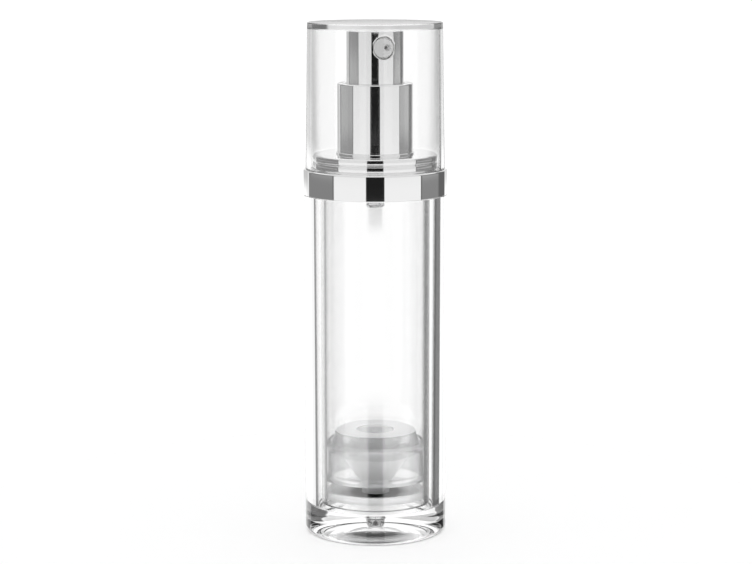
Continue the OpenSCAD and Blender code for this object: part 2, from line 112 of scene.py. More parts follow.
class HeadShape(bpy.types.PropertyGroup):
    """Sizes of the button, the nozzle and the guide sleeve."""
    button_wall: length("Button wall", "Wall thickness of the button", 0.7 * MM)
    button_top: length("Button top", "Thickness of the button's top", 1.0 * MM)
    button_edge: length("Button edge", "Radius of the button's top edge", 0.4 * MM)
    window: length("Window", "Diameter of the hole round the nozzle", 5.6 * MM)
    window_edge: length("Window edge", "Radius of the hole's edge", 0.22 * MM)
    outlet: length("Outlet", "Diameter of the outlet", 1.3 * MM)
    outlet_offset: length("Outlet offset", "Sideways place of the outlet in the insert", 1.1 * MM)
    sleeve_wall: length("Sleeve wall", "Wall thickness of the guide sleeve", 0.6 * MM)
    sleeve_mouth: length("Sleeve mouth", "Thickness of the sleeve's turned-in mouth", 0.75 * MM)
    sleeve_edge: length("Sleeve edge", "Radius of the sleeve's top edge", 0.35 * MM)
    sleeve_foot: length("Sleeve foot", "How far the sleeve's foot stands out", 0.3 * MM)
    sleeve_foot_height: length("Foot height", "Height of the sleeve's foot", 0.4 * MM)
    mouth_gap: length("Mouth gap", "Gap between the button and the sleeve's mouth", 0.25 * MM)


class CollarShape(bpy.types.PropertyGroup):
    """Sizes of the bright collar."""
    band: length("Band", "Height of the plain band", 6.3 * MM)
    wall: length("Wall", "Wall thickness of the band", 1.0 * MM)
    deck: length("Deck", "Thickness of the ledge and the deck", 0.8 * MM)
    band_edge: length("Band edge", "Radius of the band's upper edge", 0.45 * MM)
    ring: length("Ring", "Radius of the two ridges", 15.4 * MM)
    groove: length("Groove", "Depth of the groove between the ridges", 0.25 * MM)


class BottleShape(bpy.types.PropertyGroup):
    """Sizes of the clear outer and inner bottles."""
    shoulder: length("Shoulder", "Height of the outer wall, up to the collar", 85.4 * MM)
    rim: length("Rim", "Radius of the rim inside the collar", 16.7 * MM)
    cavity_top: length("Cavity top", "Radius of the cavity at its top", 14.9 * MM)
    cavity_low: length("Cavity foot", "Radius of the cavity at its floor", 14.65 * MM)
    floor: length("Base", "Thickness of the solid base", 6.95 * MM)
    corner: length("Corner", "Radius of the bottom corner", 1.5 * MM)
    foot_ring: length("Foot ring", "Width of the ring that the bottle stands on", 1.5 * MM)
    dome: length("Dome", "Rise of the hollow under the base", 4.0 * MM)
    vent: length("Vent", "Diameter of the air vent", 3.3 * MM)
    inner: length("Inner bottle", "Outer radius of the inner bottle", 13.6 * MM)
    inner_wall: length("Inner wall", "Wall thickness of the inner bottle", 1.25 * MM)
    neck: length("Neck", "Outer radius of the neck", 9.0 * MM)
    neck_wall: length("Neck wall", "Wall thickness of the neck", 2.0 * MM)
    plate: length("Top plate", "Thickness of the inner bottle's top plate", 1.2 * MM)


class PistonShape(bpy.types.PropertyGroup):
    """Sizes of the follower piston and of the plug below it."""
    groove_width: length("Lip groove", "Width of the groove inside the upper lip", 2.2 * MM)
    lip_drop: length("Lip drop", "Drop from the flat top to the upper lip", 2.5 * MM)
    skirt: length("Skirt", "Height of the sliding skirt", 9.8 * MM)
    skirt_wall: length("Skirt wall", "Thickness of the skirt", 1.1 * MM)
    well: length("Well", "Diameter of the well", 9.5 * MM)
    well_depth: length("Well depth", "Depth of the well", 11.1 * MM)
    foot: length("Foot", "Diameter of the central foot", 7.2 * MM)
    foot_hole: length("Foot hole", "Diameter of the blind hole up the foot", 2.4 * MM)
    plug_floor: length("Plug floor", "Thickness of the plug's floor", 0.5 * MM)
    plug_rim: length("Plug rim", "Thickness of the plug's rim", 0.9 * MM)
    plug_hole: length("Plug hole", "Diameter of the plug's air hole", 5.0 * MM)


class BottleFinish(bpy.types.PropertyGroup):
    """Colours and gloss of the materials."""
    clear: tint("Clear acrylic", "Colour of the clear outer bottle and cap", (1.0, 1.0, 1.0))
    inner: tint("Inner bottle", "Colour of the clear inner bottle", (1.0, 1.0, 1.0))
    silver: tint("Bright metal", "Colour of the bright metal coat", (0.93, 0.93, 0.93))
    milky: tint("Milky plastic", "Colour of the natural, milky plastic", (0.965, 0.967, 0.97))
    white: tint("White plastic", "Colour of the white plastic", (0.86, 0.86, 0.85))
    insert: tint("Nozzle insert", "Colour of the nozzle insert", (0.5, 0.5, 0.5))
    seal: tint("Seal", "Colour of the soft seal", (0.7, 0.7, 0.69))
    steel: tint("Steel", "Colour of the spring and the ball", (0.6, 0.61, 0.63))
    milkiness: share("Milkiness", "How much light the milky plastic scatters", 0.2)
    milky_ior: bpy.props.FloatProperty(
        name="Milky refraction", description="Refractive index of the milky plastic", default=1.45)
    plug_milkiness: share("Plug milkiness", "How much light the plug scatters", 0.55)
    milky_gloss: share("Milky roughness", "Roughness of the milky plastic", 0.08)


class StudioSetup(bpy.types.PropertyGroup):
    """Camera, floor and the light round the bottle."""
    distance: length("Distance", "Level distance from the bottle's axis to the camera", 530.2 * MM)
    height: length("Height", "Height of the camera above the floor", 149.0 * MM)
    azimuth: angle("Azimuth", "Direction of the camera, from the nozzle's side", -18.7)
    pitch: angle("Pitch", "How far the camera looks down", 9.2)
    roll: angle("Roll", "Turn of the camera about its own view", -0.06)
    pan: angle("Pan", "Turn of the camera away from the axis", -0.019)
    lens: bpy.props.FloatProperty(
        name="Lens", description="Focal length in millimetres", default=102.93)
    scatter_level: bpy.props.FloatProperty(
        name="Fill light", description="Brightness of the even light on matt surfaces", default=1.2)
    backdrop: bpy.props.FloatProperty(
        name="Backdrop", description="Brightness of the plain background", default=1.1)
    floor: length("Floor", "Radius of the pale floor", 110 * MM)
    floor_tint: tint("Floor", "Colour of the floor", (0.9, 0.9, 0.9))


def rest():
    """Leave edit mode and select nothing."""
    if bpy.context.object and bpy.context.object.mode != "OBJECT":
        bpy.ops.object.mode_set(mode="OBJECT")
    bpy.ops.object.select_all(action="DESELECT")


def pick(piece):
    """Select one piece alone."""
    rest()
    piece.select_set(True)
    bpy.context.view_layer.objects.active = piece


def pick_edges(piece, wanted):
    """Select the edges whose two ends both pass the test."""
    pick(piece)
    bpy.ops.object.mode_set(mode="EDIT")
    bpy.ops.mesh.select_mode(type="EDGE")
    bpy.ops.mesh.select_all(action="DESELECT")
    bpy.ops.object.mode_set(mode="OBJECT")
    corners = piece.data.vertices
    hits = [wanted(corner.co) for corner in corners]
    for edge in piece.data.edges:
        a, b = edge.vertices
        edge.select = hits[a] and hits[b]
    bpy.ops.object.mode_set(mode="EDIT")


def round_rings(piece, rings, width):
    """Bevel all edges whose two ends lie at these radii and heights, along a ring or from one to the next."""
    def on_ring(co):
        radius = math.hypot(co.x, co.y)
        return any(abs(radius - r) < RING_GAP and abs(co.z - z) < RING_GAP for r, z in rings)

    pick_edges(piece, on_ring)
    bpy.ops.mesh.bevel(offset=width, offset_type="OFFSET", segments=EDGE_STEPS, profile=0.5,
                       affect="EDGES", clamp_overlap=False)
    bpy.ops.object.mode_set(mode="OBJECT")


def turned(name, outline, steps=STEPS_ROUND):
    """Turn a half outline round the z axis: a circle is extruded from point to point.

    A point is (radius, height) or (radius, height, edge), where edge is the width of the bevel on its ring.
    An outline that starts on the axis is closed by a disc there. One that starts off the axis goes back to
    its start.
    """
    rest()
    from_axis = outline[0][0] == 0
    path = [point[:2] for point in outline]
    if from_axis:
        path = path[1:]
    radius, height = path[0]
    bpy.ops.mesh.primitive_circle_add(
        vertices=steps, radius=radius, location=(0, 0, height),
        fill_type="NGON" if from_axis else "NOTHING")
    piece = bpy.context.object
    piece.name = piece.data.name = name
    bpy.ops.object.mode_set(mode="EDIT")
    bpy.ops.mesh.select_mode(type="EDGE")
    if from_axis:
        bpy.ops.mesh.inset(thickness=radius / 2, depth=0)
        bpy.ops.mesh.merge(type="CENTER")
        bpy.ops.mesh.select_all(action="DESELECT")
        bpy.ops.mesh.select_non_manifold(extend=False, use_wire=False, use_boundary=True,
                                         use_multi_face=False, use_non_contiguous=False, use_verts=False)
    else:
        path = path + [path[0]]
    for (r0, z0), (r1, z1) in zip(path, path[1:]):
        bpy.ops.mesh.extrude_edges_move(TRANSFORM_OT_translate={"value": (0, 0, z1 - z0)})
        if r1 == 0:
            bpy.ops.mesh.merge(type="CENTER")
        elif r1 != r0:
            grow = r1 / r0
            bpy.ops.transform.resize(value=(grow, grow, 1), center_override=(0, 0, z1))
    bpy.ops.mesh.select_all(action="SELECT")
    bpy.ops.mesh.remove_doubles(threshold=MERGE_GAP)
    bpy.ops.mesh.normals_make_consistent(inside=False)
    bpy.ops.object.mode_set(mode="OBJECT")
    bpy.ops.object.transform_apply(location=True, rotation=True, scale=True)
    for width in sorted({point[2] for point in outline if len(point) == 3}):
        rings = [point[:2] for point in outline if len(point) == 3 and point[2] == width]
        round_rings(piece, rings, width)
    return piece


def smoothed(piece):
    """Shade a piece smooth between its edges, with the large faces leading."""
    pick(piece)
    bpy.ops.object.shade_smooth_by_angle(angle=SMOOTH_ANGLE)
    weighted = piece.modifiers.new("even shading", "WEIGHTED_NORMAL")
    weighted.keep_sharp = True
    weighted.weight = 80
    bpy.ops.object.modifier_apply(modifier=weighted.name)
    return piece


def cut(piece, cutter):
    """Take the cutter's shape out of a piece, and remove the cutter."""
    pick(piece)
    hole = piece.modifiers.new("hole", "BOOLEAN")
    hole.operation = "DIFFERENCE"
    hole.solver = "EXACT"
    hole.object = cutter
    bpy.ops.object.modifier_apply(modifier=hole.name)
    bpy.data.objects.remove(cutter, do_unlink=True)
    return piece


def placed(piece, turn, shift):
    """Turn a piece about the origin, shift it, and bake both into its mesh."""
    piece.matrix_world = Matrix.Translation(Vector(shift)) @ turn
    pick(piece)
    bpy.ops.object.transform_apply(location=True, rotation=True, scale=True)
    return piece


def finished(piece, material, body, slot, *nodes):
    """Give a piece its material, put it under its body and hide the nodes it stands for. The slot is not
    used.
    """
    piece.data.materials.clear()
    piece.data.materials.append(material)
    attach(piece, body)
    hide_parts(*nodes)
    return piece


def arc(centre, radius, start, end, steps):
    """Points of an arc in the half plane of radius and height, by angles in degrees."""
    turns = [math.radians(start + (end - start) * i / steps) for i in range(steps + 1)]
    return [(centre[0] + radius * math.cos(t), centre[1] + radius * math.sin(t)) for t in turns]


def snap_bead(radius, seat, slack=0.0):
    """Points of the snap bead above a seat, from the top down, or of its groove when slack is given."""
    middle = seat + SNAP_HEIGHT
    foot = BEAD_FOOT + slack
    crest = BEAD_CREST + slack
    return [(radius, middle + foot), (radius + BEAD_RISE, middle + crest),
            (radius + BEAD_RISE, middle - crest), (radius, middle - foot)]


def reach(node):
    """Outer radius, lowest and highest point of a node that is round about the axis."""
    low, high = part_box(node)
    return high.x, low.z, high.z


def joined(tree, source, target):
    """Link an output to an input."""
    tree.links.new(source, target)


def new_node(tree, kind, **settings):
    """Add a node, with its own settings by name and its inputs by their names in a dict."""
    node = tree.nodes.new(kind)
    inputs = settings.pop("inputs", {})
    for key, value in settings.items():
        setattr(node, key, value)
    for key, value in inputs.items():
        if isinstance(value, bpy.types.NodeSocket):
            joined(tree, value, node.inputs[key])
        else:
            node.inputs[key].default_value = value
    return node


def sums(tree, operation, a, b=0.0, c=0.0, clamp=False):
    """A Math node of up to three values, and its result."""
    node = new_node(tree, "ShaderNodeMath", operation=operation, use_clamp=clamp)
    for socket, value in zip(node.inputs, (a, b, c)):
        if isinstance(value, bpy.types.NodeSocket):
            joined(tree, value, socket)
        else:
            socket.default_value = value
    return node.outputs[0]


def band(tree, value, low, high, soft):
    """A mask that is 1 between two values and fades out over a soft step at each end."""
    rise = new_node(tree, "ShaderNodeMapRange", interpolation_type="SMOOTHSTEP", inputs={
        "Value": value, "From Min": low - soft, "From Max": low + soft})
    fall = new_node(tree, "ShaderNodeMapRange", interpolation_type="SMOOTHSTEP", inputs={
        "Value": value, "From Min": high - soft, "From Max": high + soft, "To Min": 1.0, "To Max": 0.0})
    return sums(tree, "MULTIPLY", rise.outputs[0], fall.outputs[0])


def moulded_group():
    """Shared effect of moulded and coated surfaces: soft cloudiness, fine grain and hairline marks."""
    found = bpy.data.node_groups.get("moulded surface")
    if found:
        return found
    group = bpy.data.node_groups.new("moulded surface", "ShaderNodeTree")
    face = group.interface
    face.new_socket("Vector", in_out="INPUT", socket_type="NodeSocketVector")
    for name, value in (("Cloud Scale", 60.0), ("Cloud Depth", 0.03), ("Grain Scale", 900.0),
                        ("Roughness", 0.1), ("Roughness Spread", 0.02), ("Mark Depth", 0.0)):
        face.new_socket(name, in_out="INPUT", socket_type="NodeSocketFloat").default_value = value
    face.new_socket("Tint", in_out="INPUT", socket_type="NodeSocketColor")
    face.new_socket("Color", in_out="OUTPUT", socket_type="NodeSocketColor")
    face.new_socket("Roughness", in_out="OUTPUT", socket_type="NodeSocketFloat")
    face.new_socket("Height", in_out="OUTPUT", socket_type="NodeSocketFloat")
    start = new_node(group, "NodeGroupInput").outputs
    cloud = new_node(group, "ShaderNodeTexNoise", inputs={
        "Vector": start["Vector"], "Scale": start["Cloud Scale"], "Detail": 3.0, "Roughness": 0.5})
    grain = new_node(group, "ShaderNodeTexNoise", inputs={
        "Vector": start["Vector"], "Scale": start["Grain Scale"], "Detail": 2.0, "Roughness": 0.6})
    stretched = new_node(group, "ShaderNodeMapping", inputs={
        "Vector": start["Vector"], "Scale": (1.0, 1.0, 0.04)})
    marks = new_node(group, "ShaderNodeTexNoise", inputs={
        "Vector": stretched.outputs[0], "Scale": 2600.0, "Detail": 1.0})
    dim = sums(group, "MULTIPLY", cloud.outputs[0], start["Cloud Depth"])
    light = sums(group, "SUBTRACT", 1.0, dim)
    colour = new_node(group, "ShaderNodeVectorMath", operation="SCALE", inputs={
        "Vector": start["Tint"], "Scale": light})
    centred = sums(group, "SUBTRACT", grain.outputs[0], 0.5)
    varied = sums(group, "MULTIPLY_ADD", centred, start["Roughness Spread"], start["Roughness"])
    marked = sums(group, "MULTIPLY", marks.outputs[0], start["Mark Depth"])
    rough = sums(group, "ADD", varied, marked, clamp=True)
    fine_height = sums(group, "MULTIPLY", grain.outputs[0], 0.3)
    height = sums(group, "MULTIPLY_ADD", cloud.outputs[0], 0.7, fine_height)
    end = new_node(group, "NodeGroupOutput")
    joined(group, colour.outputs[0], end.inputs["Color"])
    joined(group, rough, end.inputs["Roughness"])
    joined(group, height, end.inputs["Height"])
    return group


def surface(name, colour, roughness, spread, cloud, cloud_scale=60.0, marks=0.0, bump=0.0, **plain):
    """A Principled material with the shared moulded effect. plain sets the shader's own sockets by name."""
    found = bpy.data.materials.get(name)
    if found:
        return found
    material = bpy.data.materials.new(name)
    material.use_nodes = True
    tree = material.node_tree
    shader = tree.nodes["Principled BSDF"]
    place = new_node(tree, "ShaderNodeTexCoord")
    effect = new_node(tree, "ShaderNodeGroup", node_tree=moulded_group(), inputs={
        "Vector": place.outputs["Object"], "Cloud Scale": cloud_scale, "Cloud Depth": cloud,
        "Roughness": roughness, "Roughness Spread": spread, "Mark Depth": marks, "Tint": (*colour, 1.0)})
    joined(tree, effect.outputs["Color"], shader.inputs["Base Color"])
    joined(tree, effect.outputs["Roughness"], shader.inputs["Roughness"])
    if bump:
        relief = new_node(tree, "ShaderNodeBump", inputs={
            "Strength": bump, "Distance": BUMP_DEPTH, "Height": effect.outputs["Height"]})
        joined(tree, relief.outputs[0], shader.inputs["Normal"])
    for socket, value in plain.items():
        shader.inputs[socket.replace("_", " ")].default_value = value
    return material


def clear_acrylic():
    """Polished clear acrylic of the outer bottle and the cap."""
    finish = bpy.context.scene.bottle_finish
    return surface("clear acrylic", finish.clear, roughness=0.0, spread=0.01, cloud=0.004, cloud_scale=90.0,
                   bump=0.02, IOR=1.49, Transmission_Weight=1.0)


def clear_inner():
    """Clear plastic of the inner bottle, a little less glossy than the acrylic."""
    finish = bpy.context.scene.bottle_finish
    return surface("clear inner plastic", finish.inner, roughness=0.02, spread=0.02, cloud=0.006,
                   cloud_scale=120.0, bump=0.03, IOR=1.5, Transmission_Weight=1.0)


def bright_metal():
    """Bright metal coat of the button, the sleeve and the collar."""
    finish = bpy.context.scene.bottle_finish
    return surface("bright metal coat", finish.silver, roughness=0.035, spread=0.02, cloud=0.02, marks=0.01,
                   Metallic=1.0)


def milky_plastic():
    """Natural, milky plastic of the piston, the pump's chamber and its seal."""
    finish = bpy.context.scene.bottle_finish
    return surface("milky plastic", finish.milky, roughness=finish.milky_gloss, spread=0.06, cloud=0.03,
                   cloud_scale=140.0, bump=0.05, IOR=finish.milky_ior,
                   Transmission_Weight=1.0 - finish.milkiness)


def matt_plastic():
    """Milky plastic of the piston's flat top, with a matt face that lets less light in."""
    finish = bpy.context.scene.bottle_finish
    return surface("matt milky plastic", finish.milky, roughness=0.45, spread=0.1, cloud=0.03,
                   cloud_scale=140.0, bump=0.1, IOR=finish.milky_ior, Transmission_Weight=0.3)


def plug_plastic():
    """Milky plastic of the plug, which scatters more light than the piston's and bends it less."""
    finish = bpy.context.scene.bottle_finish
    return surface("plug plastic", finish.milky, roughness=0.05, spread=0.04, cloud=0.03, cloud_scale=140.0,
                   bump=0.05, IOR=1.3, Transmission_Weight=1.0 - finish.plug_milkiness)


def white_plastic():
    """White moulded plastic of the pump's hidden works."""
    finish = bpy.context.scene.bottle_finish
    return surface("white plastic", finish.white, roughness=0.35, spread=0.1, cloud=0.04, bump=0.1)


def insert_plastic():
    """Pale satin plastic of the nozzle insert."""
    finish = bpy.context.scene.bottle_finish
    return surface("pale insert plastic", finish.insert, roughness=0.4, spread=0.1, cloud=0.08,
                   cloud_scale=500.0, bump=0.1)


def seal_rubber():
    """Soft seal under the pump's flange."""
    finish = bpy.context.scene.bottle_finish
    return surface("soft seal", finish.seal, roughness=0.6, spread=0.1, cloud=0.08, bump=0.2)


def drawn_steel():
    """Steel of the spring and the ball."""
    finish = bpy.context.scene.bottle_finish
    return surface("drawn steel", finish.steel, roughness=0.22, spread=0.1, cloud=0.06, marks=0.08,
                   Metallic=1.0)


class BOTTLE_OT_overcap(bpy.types.Operator):
    """Model the clear overcap."""
    bl_idname = "bottle.overcap"
    bl_label = "Overcap"

    def execute(self, context):
        shape = context.scene.overcap_shape
        radius, low, high = reach("overcap")
        ceiling = high - shape.top
        bore = radius - shape.wall
        fine = 0.12 * MM
        piece = turned("clear_overcap", [
            (0, ceiling), (bore - shape.bore_draft, ceiling, shape.ceiling_edge), (bore, low, fine),
            (radius, low, fine), (radius - shape.draft, high, shape.edge), (0, high)])
        smoothed(piece)
        finished(piece, clear_acrylic(), "cap", "clear_acrylic", "overcap")
        return {"FINISHED"}


class BOTTLE_OT_button(bpy.types.Operator):
    """Model the bright push button with the nozzle's window."""
    bl_idname = "bottle.button"
    bl_label = "Push button"

    def execute(self, context):
        shape = context.scene.head_shape
        radius, low, high = reach("button_shell")
        bore = radius - shape.button_wall
        under = high - shape.button_top
        fine = 0.12 * MM
        piece = turned("push_button", [
            (0, under), (bore, under), (bore, low, fine), (radius, low, fine),
            (radius, high, shape.button_edge), (0, high)])
        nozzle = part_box("nozzle_insert")
        height = (nozzle[0].z + nozzle[1].z) / 2
        window = shape.window / 2
        past = radius * 1.5
        cutter = turned("window_cutter", [(0, 0), (window, 0), (window, past), (0, past)], steps=96)
        placed(cutter, TO_FRONT, (0, 0, height))
        cut(piece, cutter)

        def on_rim(co):
            across = math.hypot(co.x, co.z - height)
            outside = math.hypot(co.x, co.y) > radius - RIM_GAP
            return co.y < 0 and outside and abs(across - window) < RIM_GAP

        pick_edges(piece, on_rim)
        bpy.ops.mesh.bevel(
            offset=shape.window_edge, segments=EDGE_STEPS, affect="EDGES", clamp_overlap=False)
        bpy.ops.object.mode_set(mode="OBJECT")
        smoothed(piece)
        finished(piece, bright_metal(), "actuator", "bright_silver", "button_shell")
        return {"FINISHED"}


class BOTTLE_OT_nozzle(bpy.types.Operator):
    """Model the pale nozzle insert with its off-centre outlet."""
    bl_idname = "bottle.nozzle"
    bl_label = "Nozzle insert"

    def execute(self, context):
        shape = context.scene.head_shape
        low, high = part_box("nozzle_insert")
        radius = (high.x - low.x) / 2
        depth = high.y - low.y
        middle = (low.z + high.z) / 2
        lip = 0.18 * MM
        rim = radius - 2.5 * lip
        dish = radius * 0.45
        dish_floor = depth - 0.12 * MM
        back = radius - 0.5 * MM
        back_depth = 0.6 * MM
        piece = turned("nozzle_disc", [
            (0, back_depth), (back, back_depth), (back, 0), (radius, 0), (radius, depth, lip),
            (rim, depth, lip / 2), (dish, dish_floor, lip), (0, dish_floor)], steps=128)
        bore = shape.outlet / 2
        channel = bore * 0.6
        cone = 0.25 * MM
        past = depth + 0.1 * MM
        cutter = turned("outlet_cutter", [
            (0, -depth), (channel, -depth), (channel, depth - 4 * cone), (bore, depth - 3 * cone),
            (bore + cone, past), (0, past)], steps=64)
        placed(cutter, Matrix.Identity(4), (shape.outlet_offset, 0, 0))
        cut(piece, cutter)
        placed(piece, TO_FRONT, (0, high.y, middle))
        smoothed(piece)
        finished(piece, insert_plastic(), "actuator", "pale_insert", "nozzle_insert")
        return {"FINISHED"}


class BOTTLE_OT_sleeve(bpy.types.Operator):
    """Model the bright sleeve that guides the button."""
    bl_idname = "bottle.sleeve"
    bl_label = "Guide sleeve"

    def execute(self, context):
        shape = context.scene.head_shape
        foot, low, high = reach("guide_sleeve")
        radius = foot - shape.sleeve_foot
        bore = radius - shape.sleeve_wall
        mouth = reach("button_shell")[0] + shape.mouth_gap
        step = low + shape.sleeve_foot_height
        under = high - shape.sleeve_mouth
        fine = 0.1 * MM
        piece = turned("guide_tube", [
            (bore, low), (foot, low), (foot, step, fine), (radius, step, fine),
            (radius, high, shape.sleeve_edge), (mouth, high, fine), (mouth, under, fine), (bore, under)])
        smoothed(piece)
        finished(piece, bright_metal(), "bottle", "bright_silver", "guide_sleeve")
        return {"FINISHED"}


class BOTTLE_OT_collar(bpy.types.Operator):
    """Model the bright collar with its band, ledge and two ridges."""
    bl_idname = "bottle.collar"
    bl_label = "Collar"

    def execute(self, context):
        shape = context.scene.collar_shape
        head = context.scene.head_shape
        radius, low, high = reach("shoulder_collar")
        ledge = low + shape.band
        bore = radius - shape.wall
        hole = reach("guide_sleeve")[0] - head.sleeve_foot - head.sleeve_wall
        valley = shape.ring - shape.groove
        shell = valley - shape.deck
        slope = 0.2 * MM
        groove_floor = 0.1 * MM
        ridge_foot = 0.2 * MM
        ridge = (high - ledge - 2 * slope - groove_floor) / 2
        groove_low = ledge + ridge + slope + groove_floor
        groove_high = groove_low + groove_floor
        fine = 0.12 * MM
        piece = turned("bright_collar", [
            (bore, low, fine / 2), (radius, low, fine), (radius, ledge, shape.band_edge),
            (shape.ring - ridge_foot, ledge, fine / 2), (shape.ring, ledge + 2 * ridge_foot, fine),
            (shape.ring, groove_low - slope, fine), (valley, groove_low, fine / 3),
            (valley, groove_high, fine / 3), (shape.ring, groove_high + slope, fine),
            (shape.ring, high, shape.band_edge), (hole, high), (hole, high - shape.deck),
            (shell, high - shape.deck), (shell, ledge - shape.deck), (bore, ledge - shape.deck),
            *snap_bead(bore, low, BEAD_SLACK)])
        smoothed(piece)
        finished(piece, bright_metal(), "bottle", "bright_silver", "shoulder_collar")
        return {"FINISHED"}


class BOTTLE_OT_outer_bottle(bpy.types.Operator):
    """Model the thick clear outer bottle with its hollowed base."""
    bl_idname = "bottle.outer_bottle"
    bl_label = "Outer bottle"

    def execute(self, context):
        shape = context.scene.bottle_shape
        radius, low, high = reach("outer_bottle")
        vent = shape.vent / 2
        foot = radius - shape.corner - shape.foot_ring
        sphere = (foot * foot + shape.dome * shape.dome) / (2 * shape.dome)
        foot_angle = 90 - math.degrees(math.asin(foot / sphere))
        vent_angle = 90 - math.degrees(math.asin(vent / sphere))
        hollow = arc((0, shape.dome - sphere), sphere, foot_angle, vent_angle, steps=18)
        corner = arc((radius - shape.corner, shape.corner), shape.corner, 0, -75, steps=8)
        fine = 0.15 * MM
        floor_edge = 0.5 * MM
        piece = turned("clear_outer_bottle", [
            (*hollow[-1], fine), (vent, shape.floor, fine), (shape.cavity_low, shape.floor, floor_edge),
            (shape.cavity_top, high, fine), (shape.rim, high, fine), *snap_bead(shape.rim, shape.shoulder),
            (shape.rim, shape.shoulder, fine), (radius, shape.shoulder, fine), *corner,
            (radius - shape.corner, low), *hollow[:-1]])
        smoothed(piece)
        finished(piece, clear_acrylic(), "bottle", "clear_acrylic", "outer_bottle")
        return {"FINISHED"}


class BOTTLE_OT_inner_bottle(bpy.types.Operator):
    """Model the clear inner bottle, hung from its top plate."""
    bl_idname = "bottle.inner_bottle"
    bl_label = "Inner bottle"

    def execute(self, context):
        shape = context.scene.bottle_shape
        hanger, low, high = reach("inner_bottle")
        bore = shape.inner - shape.inner_wall
        neck_bore = shape.neck - shape.neck_wall
        under = reach("outer_bottle")[2]
        plate_top = under + shape.plate
        bead = (plate_top + high) / 2
        half_bead = 0.3 * MM
        edge = 0.3 * MM
        fine = 0.15 * MM
        piece = turned("clear_inner_bottle", [
            (bore, low, edge), (shape.inner, low, edge), (shape.inner, under, fine), (hanger, under, fine),
            (hanger, plate_top, fine), (shape.neck, plate_top), (shape.neck, bead - half_bead),
            (shape.neck + BEAD_RISE, bead), (shape.neck, bead + half_bead), (shape.neck, high, fine),
            (neck_bore, high, fine), (neck_bore, under, fine), (bore, under, edge)])
        smoothed(piece)
        finished(piece, clear_inner(), "bottle", "clear_inner", "inner_bottle")
        return {"FINISHED"}


class BOTTLE_OT_piston(bpy.types.Operator):
    """Model the milky follower piston."""
    bl_idname = "bottle.piston"
    bl_label = "Follower piston"

    def execute(self, context):
        shape = context.scene.piston_shape
        radius, low, high = reach("follower_piston")
        flat = radius - shape.groove_width
        well = shape.well / 2
        well_floor = high - shape.well_depth
        lip = high - shape.lip_drop
        skirt_low = lip - shape.skirt
        fine = 0.12 * MM
        soft = 0.35 * MM
        mouth_edge = 0.25 * MM
        mouth_low = high - 2.5 * MM
        well_side = [
            (0, well_floor), (well * 0.3, well_floor + shape.well_depth * 0.03, fine),
            (well * 0.57, well_floor + shape.well_depth * 0.17, soft),
            (well * 0.83, well_floor + shape.well_depth * 0.46, soft), (well, mouth_low, soft),
            (well, high, mouth_edge)]
        flat_edge = 0.4 * MM
        valley = (flat + radius) / 2
        valley_floor = lip - 1 * MM
        groove = [
            (flat, high, flat_edge), (valley - 0.2 * MM, valley_floor, fine),
            (valley + 0.3 * MM, valley_floor, fine)]
        lip_tip = radius - 0.25 * MM
        lip_low = lip - 0.7 * MM
        waist = radius - 0.3 * MM
        waist_high = lip - 1.7 * MM
        waist_low = skirt_low + 1.8 * MM
        low_lip = skirt_low + 0.9 * MM
        outside = [
            (lip_tip, lip, fine / 2), (radius, lip, fine / 2), (radius, lip_low, fine),
            (waist, waist_high, fine), (waist, waist_low, fine), (radius, low_lip, fine),
            (radius, skirt_low, fine)]
        low_tip = radius - 0.4 * MM
        skirt_bore = radius - shape.skirt_wall
        bore_low = skirt_low + 1.2 * MM
        bore_high = lip - 2.4 * MM
        inside = [
            (low_tip, skirt_low, fine / 2), (skirt_bore, bore_low, fine), (skirt_bore, bore_high, fine),
            (flat, lip_low, fine), (flat - 0.5 * MM, lip_low - 0.1 * MM, fine)]
        foot = shape.foot / 2
        foot_top = low + 2.4 * MM
        hole = shape.foot_hole / 2
        hole_top = well_floor - 1.2 * MM
        foot_side = [
            (flat - 1.5 * MM, lip - 3.8 * MM, soft), (foot + 0.7 * MM, foot_top + 1.1 * MM, soft),
            (foot, foot_top, fine), (foot, low, fine), (hole, low, fine), (hole, hole_top, fine),
            (0, hole_top)]
        piece = turned("follower", well_side + groove + outside + inside + foot_side)
        smoothed(piece)
        finished(piece, milky_plastic(), "follower", "milky_plastic", "follower_piston")
        piece.data.materials.append(matt_plastic())
        for face in piece.data.polygons:
            across = math.hypot(face.center.x, face.center.y)
            on_top = face.center.z > high - fine
            if on_top and well < across < flat - fine:
                face.material_index = 1
        return {"FINISHED"}


class BOTTLE_OT_plug(bpy.types.Operator):
    """Model the milky cup in the inner bottle's lower end."""
    bl_idname = "bottle.plug"
    bl_label = "Bottle plug"

    def execute(self, context):
        shape = context.scene.piston_shape
        radius, low, high = reach("bottle_plug")
        bore = radius - shape.plug_rim
        floor = low + shape.plug_floor
        hole = shape.plug_hole / 2
        fine = 0.15 * MM
        piece = turned("plug_cup", [
            (hole, low, fine), (radius, low, fine), (radius, high, fine), (bore, high, fine),
            (bore, floor, fine), (hole, floor, fine)])
        smoothed(piece)
        finished(piece, plug_plastic(), "bottle", "milky_plastic", "bottle_plug")
        return {"FINISHED"}


class BOTTLE_OT_works(bpy.types.Operator):
    """Finish the pump's works, which keep their own shapes."""
    bl_idname = "bottle.works"
    bl_label = "Pump works"

    def execute(self, context):
        finishes = {
            milky_plastic: ("pump_housing", "piston_seal"),
            white_plastic: ("actuator_core", "closure_ring", "stem_guide", "pump_stem", "valve_plunger"),
            seal_rubber: ("neck_gasket",),
            drawn_steel: ("return_spring", "inlet_ball"),
        }
        for finish, names in finishes.items():
            for name in names:
                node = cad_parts[name]
                node.data.materials.clear()
                node.data.materials.append(finish())
        return {"FINISHED"}


